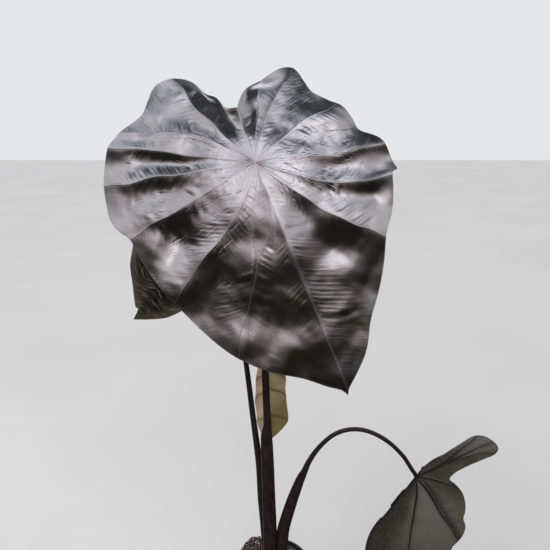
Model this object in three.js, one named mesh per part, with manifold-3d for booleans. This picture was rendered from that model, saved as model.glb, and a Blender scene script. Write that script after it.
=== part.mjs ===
// A potted black-leaved aroid: four leaves on sheathed stalks, their corm, the potting mix and a nursery pot.
// Millimetres, +Z up. The origin is the middle of the pot's underside, and the big leaf faces -Y.
import * as THREE from "three";
import { mergeVertices } from "three/addons/utils/BufferGeometryUtils.js";
import Module from "manifold-3d";

const wasm = await Module();
wasm.setup();

// Driving dimensions
const GAP = 0.3; // clearance between pieces that touch
const POT_HEIGHT = 105;
const POT_BASE_RADIUS = 41;
const POT_RIM_RADIUS = 57;
const POT_WALL = 1.6;
const POT_FLOOR = 2.4;
const RIM_BAND_HEIGHT = 13;
const RIM_BAND_STEP = 2.2;
const DRAIN_SLOTS = 6;
const DRAIN_WIDTH = 14;
const POT_SIDES = 48;

const SOIL_DROP = 7; // below the rim, at the wall
const SOIL_HEAP = 23; // height of the heap behind the stalks
const SOIL_HEAP_AT = [-28, 32];
const SOIL_HEAP_SPREAD = 18;
const SOIL_GRAIN = 1.5;
const SOIL_RINGS = 9;
const SOIL_SIDES = 40;

const CORM_TOP = 104;
const CORM_HEIGHT = 46;
const CORM_AT = [4, 5];
const CORM_HALF_WIDTH = 23;
const CORM_HALF_DEPTH = 17;

const BLADE_THICKNESS = 1;
const RIB_SWING = 32; // length over which a rib swings to its place
const SAG_WIDTH = 80; // the blade sags no deeper between ribs that are further apart
const STALK_SIDES = 12;

// Each leaf lies in a frame of its own at the joint with its stalk: x across, y away from the tip and z out of
// its upper face. reach is the margin, as the angle in degrees from x and the distance from the joint.
// folds are the two halves' angles up from the flat, in degrees (left, right of the joint, from above), bends
// are the curvatures of the part towards the tip, past its stiff length, and of the lobes, per mm, and droop
// curls the sides down.
// A rib is the angle where it meets the margin, where it starts, and how far from the joint it starts.
const FRONT_LEAF = {
  joint: [-18.2, -20, 678.5],
  turn: -3,
  rise: 24,
  folds: [2, 2],
  bends: [-0.0012, -0.0018],
  droop: 0.0005,
  pleat: 0.085,
  wave: 1.6,
  spacing: 15,
  rings: 9,
  reach: [
    [109, 70], [117, 80], [119, 101], [124, 113], [126, 131], [131, 144], [138, 158], [143, 158], [148, 152],
    [156, 148], [166, 164], [172, 172], [180, 175], [194, 176], [202, 176], [208, 170], [213, 164], [222, 168],
    [234, 175], [244, 183], [253, 196], [260, 208], [274, 231], [283, 246], [289, 263], [291.6, 271], [292.6, 279],
    [293.8, 270], [301, 244], [307, 217], [314, 199], [323, 180], [332, 165], [341, 161], [350, 156], [357, 153],
    [359, 158], [362, 154], [373, 143], [380, 124], [387, 122], [396, 120], [404, 113], [415, 109], [423, 117],
    [430, 127], [436, 129], [444, 124], [450, 117], [458, 100], [464, 82], [468, 71],
  ],
  ribs: [
    [109, 109, 0], [140, 134, 0], [173, 170, 0], [188, 189, 0], [212, 214, 0], [241, 257, 0], [266, 293, 70],
    [280, 293, 120], [293, 293, 0], [302, 293, 105], [312, 293, 45], [331, 312, 0], [358, 342, 0],
    [371, 366, 0], [398, 408, 0], [432, 440, 0],
  ],
};

const REAR_LEAF = {
  joint: [-72, 45, 608],
  turn: -14,
  rise: 10,
  roll: -22,
  folds: [6, 6],
  bends: [-0.0015, -0.002],
  droop: 0.0006,
  pleat: 0.085,
  wave: 1.4,
  spacing: 14,
  rings: 7,
  reach: [
    [98, 41], [116, 34], [130, 44], [136, 62], [146, 80], [158, 93], [176, 100], [193, 111], [210, 119],
    [223, 127], [231, 139], [239, 154], [246, 171], [250, 179], [252, 192], [255, 186], [263, 165], [271, 138],
    [282, 110], [304, 89], [328, 77], [366, 76], [392, 76], [412, 72], [434, 62],
  ],
  ribs: [
    [116, 116, 0], [150, 146, 0], [180, 170, 0], [206, 196, 0], [231, 252, 40], [252, 252, 0], [272, 252, 45],
    [300, 284, 0], [335, 320, 0], [372, 366, 0], [408, 410, 0],
  ],
};

const RIGHT_LEAF = {
  joint: [193, -10, 265],
  axes: [[0, 1, 0], [0.53, 0, 0.848], [0.848, 0, -0.53]],
  folds: [62, 102],
  bends: [0.0108, 0],
  stiff: 88,
  droop: 0,
  pleat: -0.035,
  wave: 0.8,
  spacing: 13,
  rings: 8,
  reach: [
    [90, 18], [99, 28], [101, 44], [102, 62], [103, 77], [104, 97], [109, 109], [117, 115], [121, 107], [123, 87],
    [126, 67], [131, 52], [140, 44], [147, 51], [156, 60], [167, 68], [176, 73], [182, 76], [186, 84], [194, 91],
    [206, 98], [214, 112], [223, 130], [235, 152], [245, 170], [254, 184], [263, 194], [270, 201],
    [278, 188], [288, 162], [300, 134], [312, 109], [326, 88], [342, 71], [360, 58], [378, 46], [394, 39],
    [408, 41], [420, 47], [430, 53], [437, 51], [443, 36],
  ],
  ribs: [
    [90, 90, 0], [115, 108, 0], [152, 138, 0], [200, 176, 0], [242, 218, 0], [270, 270, 0], [304, 326, 0],
    [344, 368, 0], [394, 408, 0], [430, 434, 0],
  ],
};

const FOLDED_LEAF = {
  joint: [-6, 50, 452],
  axes: [[-1, 0, 0], [0, 0, 1], [0, 1, 0]],
  folds: [40, 58],
  bends: [0.0006, -0.004],
  droop: 0.003,
  pleat: -0.06,
  wave: 0.8,
  spacing: 12,
  rings: 7,
  reach: [
    [90, 20], [102, 42], [116, 52], [134, 50], [160, 42], [186, 38], [208, 42], [226, 52], [238, 66], [247, 86],
    [252, 108], [254, 128], [254.5, 147], [256, 161], [259, 170], [263, 177], [268, 179], [270, 182],
    [274, 183], [278, 180], [281, 164], [284, 142], [287, 118], [290, 93], [295, 74], [304, 58], [318, 46],
    [340, 40], [366, 40], [390, 46], [412, 54], [430, 54], [442, 40],
  ],
  ribs: [
    [90, 90, 0], [128, 122, 0], [186, 170, 0], [228, 206, 0], [247, 270, 60], [254, 270, 88], [260, 270, 124],
    [270, 270, 0], [279, 270, 122], [284, 270, 86], [291, 270, 58], [310, 332, 0], [356, 372, 0], [412, 418, 0],
  ],
};

// Stalks: centre line points, each with the radius and how far the sheath's lip stands out there.
// lipSide is the direction of the lip, in degrees about the stalk from +X towards +Y. top is the radius at the
// leaf's joint, and gap is left between the cut end there and the blade.
const FRONT_STALK = {
  lipSide: 200,
  top: 3.6,
  gap: 0.9,
  points: [
    [-2, 0, 104.4, 8.2, 3.5], [-1.5, 0, 135, 8, 3.6], [-1.2, 0, 160, 7.8, 3.8], [-1.4, 0, 186, 7.3, 4.2],
    [-2, 0, 219, 6.6, 5], [-3.2, 1, 274, 5.9, 5.6], [-4.3, 3, 304, 5.5, 5.4], [-5.2, 4, 322, 5.2, 4.6],
    [-5.8, 5, 334, 5, 1], [-6.6, 6, 348, 4.9, 0], [-9, 9, 410, 4.7, 0], [-13, 11, 500, 4.4, 0],
    [-17, 8, 590, 4.1, 0], [-18.6, 0, 640, 3.9, 0],
  ],
};

const REAR_STALK = {
  lipSide: 30,
  top: 2.6,
  gap: 0.9,
  points: [
    [-8, 12, 104.4, 5, 0], [-11, 10, 152, 5, 0.6], [-13, 9, 183, 4.9, 0.8], [-15.4, 9, 215, 4.8, 1.2],
    [-18, 10, 270, 4.5, 1.2], [-21, 11, 300, 4.2, 0.4], [-26, 15, 343, 3.9, 0], [-33, 22, 404, 3.5, 0],
    [-44, 36, 480, 3.2, 0], [-56, 48, 540, 3, 0], [-66, 54, 582, 2.8, 0],
  ],
};

const RIGHT_STALK = {
  lipSide: 180,
  top: 2.8,
  gap: GAP,
  points: [
    [12, 3, 104.4, 8.2, 0.6], [14.4, 2, 145, 8.2, 1], [16.8, 1, 169, 7.6, 1.6], [21.2, 0, 189, 7, 2.2],
    [29.4, 0, 219, 6.2, 2.6], [37.6, 0, 246, 5.2, 2.2], [42, 0, 259, 4.6, 1.6], [44, 0, 265, 4.4, 0.2],
    [50, 0, 281, 3.7, 0], [61, 0, 300, 3.2, 0], [72, -1, 314, 3, 0], [81, -1, 322, 3, 0],
    [93, -2, 329, 2.9, 0], [108, -3, 332.5, 2.9, 0], [124, -4, 331, 2.9, 0], [141, -6, 324.5, 2.9, 0],
    [158, -8, 313, 2.8, 0], [175, -9, 295, 2.8, 0], [186, -10, 278, 2.8, 0],
  ],
};

const FOLDED_STALK = {
  lipSide: 90,
  top: 2.4,
  gap: GAP,
  points: [
    [3, 18, 104.4, 5.4, 0], [2, 18, 140, 5.2, 1.4], [0, 19, 190, 4.8, 1.6], [-2, 21, 250, 4.3, 1],
    [-4, 24, 310, 3.8, 0], [-7, 28, 370, 3.4, 0], [-9, 32, 415, 3.2, 0], [-9, 36, 434, 3, 0],
    [-8, 42, 446, 2.8, 0],
  ],
};

const radians = (degrees) => (degrees * Math.PI) / 180;
const mix = (a, b, t) => a + (b - a) * t;

// A solid from points and triangles
function solidOf(points, triangles) {
  const geometry = new THREE.BufferGeometry();
  geometry.setAttribute("position", new THREE.Float32BufferAttribute(points.flat(), 3));
  geometry.setIndex(triangles);
  return solidFrom(geometry);
}

function solidFrom(geometry) {
  const plain = geometry.clone();
  plain.deleteAttribute("normal");
  plain.deleteAttribute("uv");
  const merged = mergeVertices(plain, 1e-4);
  return new wasm.Manifold(
    new wasm.Mesh({
      numProp: 3,
      vertProperties: new Float32Array(merged.attributes.position.array),
      triVerts: new Uint32Array(merged.index.array),
    }),
  );
}

function geometryOf(solid) {
  const mesh = solid.getMesh();
  const geometry = new THREE.BufferGeometry();
  geometry.setAttribute("position", new THREE.BufferAttribute(mesh.vertProperties, 3));
  geometry.setIndex(new THREE.BufferAttribute(mesh.triVerts, 1));
  return geometry;
}

// Catmull-Rom value of column k at place t of a list of rows; closed lists go on past their ends by 360 degrees
function along(rows, t, k, closed) {
  const n = rows.length;
  const at = (i) => {
    if (!closed) return rows[Math.min(Math.max(i, 0), n - 1)][k];
    const turns = Math.floor(i / n);
    return rows[i - turns * n][k] + (k === 0 ? 360 * turns : 0);
  };
  const i = Math.floor(t);
  const f = t - i;
  const [a, b, c, d] = [at(i - 1), at(i), at(i + 1), at(i + 2)];
  return b + 0.5 * f * (c - a + f * (2 * a - 5 * b + 4 * c - d + f * (3 * (b - c) + d - a)));
}

// Where the ribs lie at a distance from the joint: they leave the midrib and swing to their place at the margin
function ribAngles(leaf, distance) {
  return leaf.ribs.map(([end, start, from]) => {
    const swing = Math.exp(-Math.max(0, distance - from) / RIB_SWING);
    return end + (start - end) * swing;
  });
}

// Rise of the blade over its smooth form: it sags between the ribs and waves along the margin
function pleatRise(leaf, angle, distance, share) {
  const places = ribAngles(leaf, distance);
  const n = places.length;
  const turned = angle - 360 * Math.floor((angle - places[0]) / 360);
  let i = 0;
  while (i < n - 1 && places[i + 1] <= turned) i++;
  const next = i < n - 1 ? places[i + 1] : places[0] + 360;
  const span = Math.max(next - places[i], 1e-6);
  const t = (turned - places[i]) / span;
  const width = Math.min(distance * radians(span), SAG_WIDTH);
  const sag = leaf.pleat * width * 4 * t * (1 - t);
  const wave = leaf.wave * share ** 6 * Math.sin(radians(angle * 11)) * Math.sin(radians(angle * 4 + 40));
  return wave - sag;
}

function leafAxes(leaf) {
  if (leaf.axes) return leaf.axes.map((v) => new THREE.Vector3(...v).normalize());
  const [a, e, r] = [leaf.turn, leaf.rise, leaf.roll ?? 0].map(radians);
  const out = new THREE.Vector3(Math.sin(a) * Math.cos(e), -Math.cos(a) * Math.cos(e), Math.sin(e));
  const level = new THREE.Vector3(Math.cos(a), Math.sin(a), 0);
  const slope = new THREE.Vector3().crossVectors(out, level);
  const across = level.clone().multiplyScalar(Math.cos(r)).addScaledVector(slope, Math.sin(r));
  return [across, new THREE.Vector3().crossVectors(out, across), out];
}

// A flat point of the leaf's pattern, folded along the midrib, drooped at the sides and bent along its length
function placed(leaf, axes, x, y, rise) {
  const fold = radians(x < 0 ? leaf.folds[0] : leaf.folds[1]);
  const side = x < 0 ? -1 : 1;
  const reach = Math.abs(x);
  const across = side * (reach * Math.cos(fold) - rise * Math.sin(fold));
  let up = reach * Math.sin(fold) + rise * Math.cos(fold) - leaf.droop * reach * reach;
  let length = y;
  const bend = y < 0 ? leaf.bends[0] : leaf.bends[1];
  const straight = y < 0 ? Math.max(y, -(leaf.stiff ?? 0)) : 0;
  if (bend) {
    const turn = bend * (y - straight);
    length = straight + Math.sin(turn) / bend - up * Math.sin(turn);
    up = (1 - Math.cos(turn)) / bend + up * Math.cos(turn);
  }
  return new THREE.Vector3(...leaf.joint)
    .addScaledVector(axes[0], across)
    .addScaledVector(axes[1], length)
    .addScaledVector(axes[2], up);
}

// The blade as one closed solid: a fan of spokes round the joint, the upper face, the under face and the margin
function bladeSolid(leaf) {
  const axes = leafAxes(leaf);
  const spokes = [];
  leaf.reach.forEach((row, i) => {
    const next = leaf.reach[(i + 1) % leaf.reach.length];
    const turn = i + 1 < leaf.reach.length ? 0 : 360;
    const [a, b] = [radians(row[0]), radians(next[0] + turn)];
    const across = row[1] * Math.cos(a) - next[1] * Math.cos(b);
    const chord = Math.hypot(across, row[1] * Math.sin(a) - next[1] * Math.sin(b));
    const steps = Math.max(1, Math.round(chord / leaf.spacing));
    for (let k = 0; k < steps; k++) spokes.push(i + k / steps);
  });
  const rings = leaf.rings;
  const count = spokes.length;
  const upper = [placed(leaf, axes, 0, 0, 0)];
  for (const t of spokes) {
    const angle = along(leaf.reach, t, 0, true);
    const reach = along(leaf.reach, t, 1, true);
    for (let j = 1; j <= rings; j++) {
      const share = j / rings;
      const distance = reach * share;
      const rise = pleatRise(leaf, angle, distance, share);
      const a = radians(angle);
      upper.push(placed(leaf, axes, distance * Math.cos(a), distance * Math.sin(a), rise));
    }
  }
  const at = (i, j) => (j === 0 ? 0 : 1 + ((i + count) % count) * rings + j - 1);
  const faces = [];
  for (let i = 0; i < count; i++) {
    faces.push([0, at(i, 1), at(i + 1, 1)]);
    for (let j = 1; j < rings; j++) {
      faces.push([at(i, j), at(i, j + 1), at(i + 1, j + 1)]);
      faces.push([at(i, j), at(i + 1, j + 1), at(i + 1, j)]);
    }
  }
  const normals = upper.map(() => new THREE.Vector3());
  for (const [a, b, c] of faces) {
    const normal = new THREE.Vector3()
      .subVectors(upper[b], upper[a])
      .cross(new THREE.Vector3().subVectors(upper[c], upper[a]));
    for (const v of [a, b, c]) normals[v].add(normal);
  }
  const under = upper.map((p, i) => p.clone().addScaledVector(normals[i].normalize(), -BLADE_THICKNESS));
  const size = upper.length;
  const triangles = [];
  for (const [a, b, c] of faces) triangles.push(a, b, c, size + a, size + c, size + b);
  for (let i = 0; i < count; i++) {
    const [a, b] = [at(i, rings), at(i + 1, rings)];
    triangles.push(a, size + a, size + b, a, size + b, b);
  }
  return solidOf([...upper, ...under].map((p) => p.toArray()), triangles);
}

// A stalk: rings across its centre line, with the sheath's lip on one side. It runs up to its leaf's joint and
// is cut off level with the blade, just under it.
function stalkSolid(stalk, leaf, grow = 0) {
  const out = leafAxes(leaf)[2];
  const joint = new THREE.Vector3(...leaf.joint);
  const last = joint.clone().addScaledVector(out, stalk.top).toArray();
  const rows = [...stalk.points, [...last, stalk.top, 0]];
  const centres = rows.map(([x, y, z]) => new THREE.Vector3(x, y, z));
  const curve = new THREE.CatmullRomCurve3(centres, false, "centripetal");
  const count = (rows.length - 1) * 2;
  const points = [];
  const triangles = [];
  let side = new THREE.Vector3(1, 0, 0);
  for (let i = 0; i <= count; i++) {
    const t = i / count;
    const middle = curve.getPoint(t);
    const ahead = i === 0 ? new THREE.Vector3(0, 0, 1) : curve.getTangent(t);
    side = side.addScaledVector(ahead, -side.dot(ahead)).normalize();
    const back = new THREE.Vector3().crossVectors(ahead, side);
    const radius = along(rows, t * (rows.length - 1), 3, false) + grow;
    const lip = Math.max(0, along(rows, t * (rows.length - 1), 4, false));
    if (grow && i === 0) middle.z -= 2 * grow;
    for (let k = 0; k < STALK_SIDES; k++) {
      const a = (2 * Math.PI * k) / STALK_SIDES;
      const near = Math.max(0, Math.cos(a - radians(stalk.lipSide)));
      const r = radius + lip * near ** 2;
      points.push(
        middle.clone().addScaledVector(side, r * Math.cos(a)).addScaledVector(back, r * Math.sin(a)).toArray(),
      );
    }
    if (i === count) points.push(middle.toArray());
  }
  points.push([rows[0][0], rows[0][1], rows[0][2] - 2 * grow]);
  const [top, bottom] = [points.length - 2, points.length - 1];
  for (let k = 0; k < STALK_SIDES; k++) {
    const next = (k + 1) % STALK_SIDES;
    for (let i = 0; i < count; i++) {
      const [a, b] = [i * STALK_SIDES + k, i * STALK_SIDES + next];
      triangles.push(a, b, b + STALK_SIDES, a, b + STALK_SIDES, a + STALK_SIDES);
    }
    triangles.push(bottom, next, k, top, count * STALK_SIDES + k, count * STALK_SIDES + next);
  }
  const cut = joint.dot(out) - BLADE_THICKNESS - stalk.gap + grow;
  return solidOf(points, triangles).trimByPlane(out.clone().negate().toArray(), -cut);
}

// Pot: a lathed cup with a stepped rim band, and slots at the corner of its floor
function potWallRadius(z) {
  return mix(POT_BASE_RADIUS, POT_RIM_RADIUS - RIM_BAND_STEP, z / POT_HEIGHT);
}

function potSolid() {
  const band = POT_HEIGHT - RIM_BAND_HEIGHT;
  const profile = [
    [0, 0],
    [POT_BASE_RADIUS - 1.5, 0],
    [POT_BASE_RADIUS, 1.5],
    [potWallRadius(band), band],
    [POT_RIM_RADIUS - 0.6, band],
    [POT_RIM_RADIUS, band + 1.5],
    [POT_RIM_RADIUS, POT_HEIGHT - 1],
    [POT_RIM_RADIUS - 0.8, POT_HEIGHT],
    [POT_RIM_RADIUS - 2.4, POT_HEIGHT],
    [POT_RIM_RADIUS - 3.2, POT_HEIGHT - 1],
    [potWallRadius(POT_FLOOR) - POT_WALL, POT_FLOOR],
    [0, POT_FLOOR],
  ].map(([r, z]) => new THREE.Vector2(r, z));
  const lathe = new THREE.LatheGeometry(profile, POT_SIDES).rotateX(Math.PI / 2);
  let pot = solidFrom(lathe);
  for (let i = 0; i < DRAIN_SLOTS; i++) {
    const slot = new THREE.BoxGeometry(9, DRAIN_WIDTH, 7);
    slot.translate(POT_BASE_RADIUS, 0, 3).rotateZ((2 * Math.PI * (i + 0.5)) / DRAIN_SLOTS);
    pot = pot.subtract(solidFrom(slot));
  }
  return pot;
}

// Potting mix: fills the pot to a grainy heap that is highest behind the stalks
function soilTop(x, y) {
  const far = (x - SOIL_HEAP_AT[0]) ** 2 + (y - SOIL_HEAP_AT[1]) ** 2;
  const heap = SOIL_HEAP * Math.exp(-far / (2 * SOIL_HEAP_SPREAD ** 2));
  const grain = Math.sin(x * 0.9 + 3 * Math.sin(y * 0.37)) * Math.cos(y * 0.8 - 2 * Math.sin(x * 0.31));
  return POT_HEIGHT - SOIL_DROP + heap + SOIL_GRAIN * grain;
}

function soilSolid(plants) {
  const topRadius = potWallRadius(POT_HEIGHT - SOIL_DROP) - POT_WALL - 2 * GAP;
  const bottomRadius = potWallRadius(POT_FLOOR) - POT_WALL - 2 * GAP;
  const points = [];
  const triangles = [];
  for (let j = 1; j <= SOIL_RINGS; j++)
    for (let i = 0; i < SOIL_SIDES; i++) {
      const a = (2 * Math.PI * (i + 0.5 * (j % 2))) / SOIL_SIDES;
      const r = (topRadius * j) / SOIL_RINGS;
      const [x, y] = [r * Math.cos(a), r * Math.sin(a)];
      points.push([x, y, j === SOIL_RINGS ? POT_HEIGHT - SOIL_DROP : soilTop(x, y)]);
    }
  const outer = (SOIL_RINGS - 1) * SOIL_SIDES;
  const low = points.length;
  for (let i = 0; i < SOIL_SIDES; i++) {
    const a = (2 * Math.PI * (i + 0.5 * (SOIL_RINGS % 2))) / SOIL_SIDES;
    points.push([bottomRadius * Math.cos(a), bottomRadius * Math.sin(a), POT_FLOOR + GAP]);
  }
  const [middle, floor] = [points.length, points.length + 1];
  points.push([0, 0, soilTop(0, 0)], [0, 0, POT_FLOOR + GAP]);
  for (let i = 0; i < SOIL_SIDES; i++) {
    const next = (i + 1) % SOIL_SIDES;
    triangles.push(middle, i, next, outer + i, low + i, low + next, outer + i, low + next, outer + next);
    triangles.push(floor, low + next, low + i);
    for (let j = 0; j < SOIL_RINGS - 1; j++) {
      const [a, b] = [j * SOIL_SIDES + i, j * SOIL_SIDES + next];
      const [c, d] = [a + SOIL_SIDES, b + SOIL_SIDES];
      triangles.push(a, c, d, a, d, b);
    }
  }
  let soil = solidOf(points, triangles);
  for (const plant of plants) soil = soil.subtract(plant);
  // The crumbs cut off between the stalks are left out
  return soil.decompose().sort((a, b) => b.volume() - a.volume())[0];
}

// The corm: a blunt turnip shape whose flat top carries the stalks
function cormSolid(grow = 0) {
  const profile = [
    [0, -CORM_HEIGHT - 2 * grow],
    [0.45, -CORM_HEIGHT * 0.93 - 2 * grow],
    [0.85, -CORM_HEIGHT * 0.66],
    [1, -CORM_HEIGHT * 0.36],
    [0.98, -CORM_HEIGHT * 0.12],
    [0.93, 2 * grow],
    [0, 2 * grow],
  ].map(([r, z]) => new THREE.Vector2(r, z));
  const wide = CORM_HALF_WIDTH + grow;
  const deep = CORM_HALF_DEPTH + grow;
  const lathe = new THREE.LatheGeometry(profile, 24).rotateX(Math.PI / 2);
  return solidFrom(lathe.scale(wide, deep, 1).translate(CORM_AT[0], CORM_AT[1], CORM_TOP));
}

const LOOKS = {
  pot: { color: 0x1d1d1f, roughness: 0.5 },
  soil: { color: 0x4b3a30, roughness: 0.95 },
  corm: { color: 0x4a3a33, roughness: 0.8 },
  stalk: { color: 0x171014, roughness: 0.3 },
  front: { color: 0x17161a, roughness: 0.15 },
  rear: { color: 0x231417, roughness: 0.25 },
  right: { color: 0x4a504b, roughness: 0.4 },
  folded: { color: 0x77742e, roughness: 0.45 },
};

function named(name, solid, look) {
  const mesh = new THREE.Mesh(geometryOf(solid), new THREE.MeshStandardMaterial({ ...look, metalness: 0 }));
  mesh.name = name;
  return mesh;
}

function plant() {
  const stalks = [
    ["petiole_front", FRONT_STALK, FRONT_LEAF],
    ["petiole_right", RIGHT_STALK, RIGHT_LEAF],
    ["petiole_rear", REAR_STALK, REAR_LEAF],
    ["petiole_folded", FOLDED_STALK, FOLDED_LEAF],
  ];
  const group = new THREE.Group();
  const grown = [];
  for (const [name, stalk, leaf] of stalks) {
    let solid = stalkSolid(stalk, leaf);
    for (const other of grown) solid = solid.subtract(other);
    group.add(named(name, solid, LOOKS.stalk));
    grown.push(stalkSolid(stalk, leaf, GAP));
  }
  const leaves = [
    ["leaf_front", FRONT_LEAF, LOOKS.front],
    ["leaf_rear", REAR_LEAF, LOOKS.rear],
    ["leaf_right", RIGHT_LEAF, LOOKS.right],
    ["leaf_folded", FOLDED_LEAF, LOOKS.folded],
  ];
  for (const [name, leaf, look] of leaves) group.add(named(name, bladeSolid(leaf), look));
  group.add(named("corm", cormSolid(), LOOKS.corm));
  group.add(named("soil", soilSolid([cormSolid(GAP), ...grown]), LOOKS.soil));
  return group;
}

const part = plant();
part.add(named("pot", potSolid(), LOOKS.pot));

export default part;
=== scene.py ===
import bpy
import numpy as np
from mathutils import Euler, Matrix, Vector


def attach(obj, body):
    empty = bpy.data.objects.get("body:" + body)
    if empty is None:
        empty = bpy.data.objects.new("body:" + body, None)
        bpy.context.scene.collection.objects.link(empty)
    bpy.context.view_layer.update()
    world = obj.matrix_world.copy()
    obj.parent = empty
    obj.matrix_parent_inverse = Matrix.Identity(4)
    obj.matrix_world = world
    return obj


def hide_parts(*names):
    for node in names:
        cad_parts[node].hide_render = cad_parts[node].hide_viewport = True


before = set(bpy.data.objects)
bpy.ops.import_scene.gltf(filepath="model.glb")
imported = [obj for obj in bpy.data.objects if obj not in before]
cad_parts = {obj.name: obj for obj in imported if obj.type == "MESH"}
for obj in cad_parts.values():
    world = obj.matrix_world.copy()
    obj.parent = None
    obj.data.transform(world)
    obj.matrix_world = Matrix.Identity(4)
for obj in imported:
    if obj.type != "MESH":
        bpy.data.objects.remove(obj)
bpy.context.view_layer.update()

MM = 0.001
SEED = 7

# Pot, mix and corm
POT_HEIGHT = 105
POT_BASE_RADIUS = 41
POT_RIM_RADIUS = 57
POT_WALL = 1.6
POT_FLOOR = 2.4
RIM_BAND_HEIGHT = 13
RIM_BAND_STEP = 2.2
DRAIN_SLOTS = 6
DRAIN_SLOT_HALF = (4.5, 7, 3.5)  # half of its size, outward, along the wall and up
DRAIN_SLOT_HEIGHT = 3  # of its middle
SOIL_RADIUS = 51.4
SOIL_FOOT_RADIUS = 39
SOIL_LEVEL = 98
SOIL_TOP_LAYER = 3.5
SOIL_HEAPS = [(-28, 32, 20, 17), (-43, 14, 6, 10)]  # x, y, height and spread
CHIPS_RADIUS = 50.2
CHIPS_GAP = (17, 13)  # half of the ellipse round the corm that has no chips
CORM_TOP = 104
CORM_HEIGHT = 46
CORM_AT = (4, 5)
CORM_HALF_WIDTH = 23
CORM_HALF_DEPTH = 17

# Blades
BLADE_THICKNESS = 1
KEEL_DEPTH = 1.1  # of the ribs, under the blade
SAG_WIDTH = 80  # the blade sags no deeper between ribs that are further apart
RIB_SWING = 32  # how far a rib runs while it makes most of its turn from its start to its end
RIB_EASE = 12  # how gently it leaves the rib that it grows from
COMB_PITCH = 5.5  # between side veins
VEIN_SLANT = 0.577  # how far out a side vein gets for each mm from its rib
MAP_SCALE = 100.0  # mm to one unit of the maps of the meshes

# Tones of parts of the leaves; the arc, rim, sheen and far-sector tones are painted light: painted
# reflections, a painted backlit glow, a painted sheen and painted shade
ARC_REFLECTION_TONE = (0.115, 0.098, 0.085)
RIM_BACKLIGHT_TONE = (0.13, 0.11, 0.07)
NAVEL_TONE = (0.22, 0.12, 0.15)
EDGE_TONE = (0.06, 0.055, 0.05)
PAINTED_SHEEN_TONE = (0.14, 0.136, 0.122)
PAINTED_SHADE_TONE = (0.017, 0.017, 0.011)

# Camera: the picture's width, its focal length and how far under its middle upright lines meet, in pixels
PICTURE_WIDTH = 550
FOCAL_LENGTH = 520
UPRIGHTS_MEET = 1850
CAMERA_AT = (0.004, -0.610, 0.715)

# Sky that the leaves mirror: tones by the height of the direction, falloffs to the sides as from, to, start
# and end, and the plain tone that is seen behind the plant
SKY_TONES = [
    (0.0, (0.008, 0.008, 0.005)), (0.12, (0.020, 0.018, 0.013)), (0.28, (0.118, 0.104, 0.088)),
    (0.44, (0.40, 0.37, 0.365)), (0.60, (0.78, 0.765, 0.80)), (0.71, (0.97, 0.97, 1.0)),
    (0.81, (0.62, 0.66, 0.72)), (0.90, (0.20, 0.22, 0.25)), (0.95, (0.03, 0.035, 0.035)),
]
SKY_SIDES = [(-0.45, -0.1, 0.5, 1.0), (0.0, 0.32, 1.0, 0.42)]
SKY_STRENGTH = 3.5
SEEN_TONE = (0.78, 0.80, 0.82)
KEY_LIGHT_AT = (-1.6, -1.2, 2.2)
KEY_LIGHT_AIM = (0, 0, 0.45)

# Leaves. joint is where the stalk ends, and turn, rise and roll or axes are how the leaf is held. folds are
# the angles of its halves up from the flat, bends the curvatures towards the tip, past its stiff length, and
# of the lobes, and droop curls the sides down. pleat is the sag between ribs, lean moves it off the middle,
# and hollows scale it near the joint, midway and near the margin, a row after each rib. wave, lumps, puckers,
# teeth and wander are the finer relief, and a swell is a wide dent or bulge: angle, distance, length, width
# and height. reach is the margin, as the angle in degrees from x and the distance from the joint. A rib is
# the angle where it meets the margin, where it starts, and how far from the joint it starts. swing and ease
# take the place of RIB_SWING and RIB_EASE.
FRONT_LEAF = {
    "joint": (-18.2, -20, 678.5),
    "turn": -3,
    "rise": 24,
    "folds": (2, 2),
    "bends": (-0.0012, -0.0018),
    "droop": 0.0005,
    "pleat": 0.085,
    "wave": 1.6,
    "lean": 0.8,
    "lumps": 0.75,
    "puckers": 0.11,
    "teeth": 0.24,
    "wander": 0.7,
    "midrib": 293,
    "seed": 11,
    "swells": [
        (250, 226, 30, 60, 8), (281, 262, 26, 44, 4), (262, 180, 32, 38, -7), (270, 200, 12, 13, 2.5),
        (300, 178, 44, 30, -7), (156, 116, 14, 26, -1.8), (215, 136, 16, 22, -1.6), (314, 162, 22, 24, -1.5),
        (345, 84, 14, 12, -1.8), (200, 104, 16, 14, -1.6), (180, 92, 14, 12, -1.6), (139, 130, 13, 16, 3),
        (326, 186, 16, 14, -1.6),
    ],
    "reach": [
        (109, 70), (117, 80), (119, 101), (124, 113), (126, 131), (131, 144), (138, 158), (143, 158),
        (148, 152), (156, 148), (166, 164), (172, 172), (180, 175), (194, 176), (202, 176), (208, 170),
        (213, 164), (222, 168), (234, 175), (244, 183), (253, 196), (260, 208), (274, 231), (283, 246),
        (289, 263), (291.6, 271), (292.6, 279), (293.8, 270), (301, 244), (307, 217), (314, 199),
        (323, 180), (332, 165), (341, 161), (350, 156), (357, 153), (359, 158), (362, 154), (373, 143),
        (380, 124), (387, 122), (396, 120), (404, 113), (415, 109), (423, 117), (430, 127), (436, 129),
        (444, 124), (450, 117), (458, 100), (464, 82), (468, 71),
    ],
    "ribs": [
        (109, 109, 0), (133, 139, 62), (167, 152.5, 90), (173, 170, 0), (188, 189, 0), (212, 214, 0),
        (241, 256, 60), (266, 293, 70), (293, 293, 0), (332, 325, 110), (359, 344.5, 100),
        (372, 367, 110), (397, 406, 70), (430, 441, 65),
    ],
    "hollows": [
        (1.5, 2.2, 2.2), (0.4, 0.4, 0.5), (0.2, 0.4, 0.6), (0.5, 1.6, 0.9), (0.3, 0.9, 0.6),
        (0.3, 1.3, 0.7), (0.3, 0.6, 0.7), (0.2, 0.3, 0.5), (0.4, 0.9, 0.7), (0.8, 1.2, 0.6),
        (0.3, 1.0, 1.6), (0.3, 0.4, 0.5), (0.4, 0.6, 0.9), (2.0, 2.2, 1.6),
    ],
}

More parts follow.
